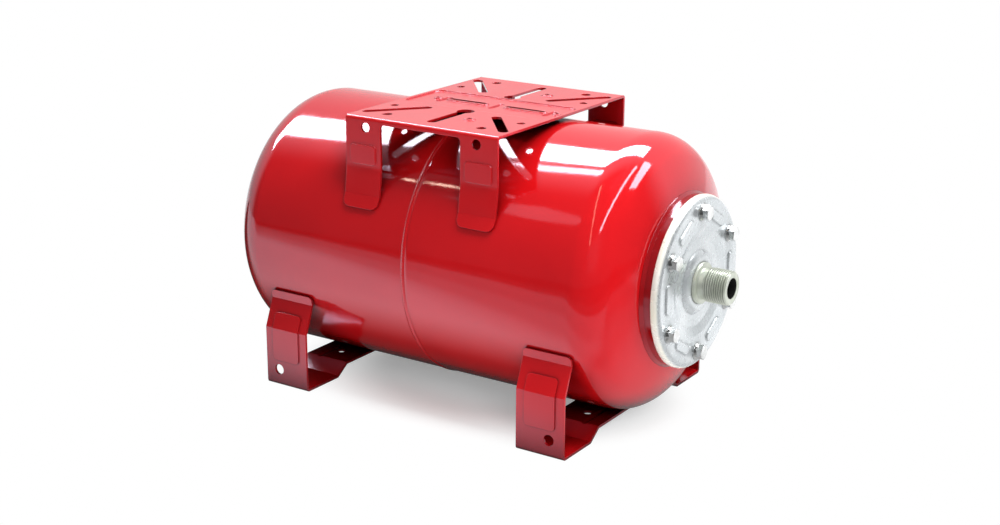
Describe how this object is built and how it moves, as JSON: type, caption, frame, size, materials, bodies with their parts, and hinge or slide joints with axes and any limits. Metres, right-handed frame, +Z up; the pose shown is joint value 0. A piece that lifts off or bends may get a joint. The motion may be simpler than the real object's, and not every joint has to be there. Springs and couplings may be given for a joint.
{
  "type": "pressure tank",
  "caption": "Horizontal welded pressure tank with a membrane, bolted flange with threaded nozzle, pump platform and feet.",
  "frame": {"origin": "on the floor under the middle of the pump platform", "axes": "+X along the tank axis towards the flange and nozzle, +Z up"},
  "size_m": [0.5424, 0.28, 0.291],
  "materials": {
    "red_paint": "gloss",
    "zinc_sheet": "satin",
    "zinc_turned": "satin",
    "zinc_bolt": "bright",
    "rubber": "matte",
    "brass": "satin",
    "valve_plastic": "satin"
  },
  "bodies": {
    "root": {"rear_half_shell": "red_paint", "front_half_shell": "red_paint", "neck_ring": "red_paint", "pump_platform": "red_paint", "front_foot": "red_paint", "rear_foot": "red_paint", "membrane": "rubber", "counter_flange": "zinc_sheet", "inlet_nozzle": "zinc_turned", "flange_bolts": "zinc_bolt", "valve_stem": "brass", "valve_washer": "rubber", "valve_nut": "brass", "valve_core": "brass", "valve_cap": "valve_plastic", "valve_cover": "valve_plastic"}
  },
  "joints": []
}
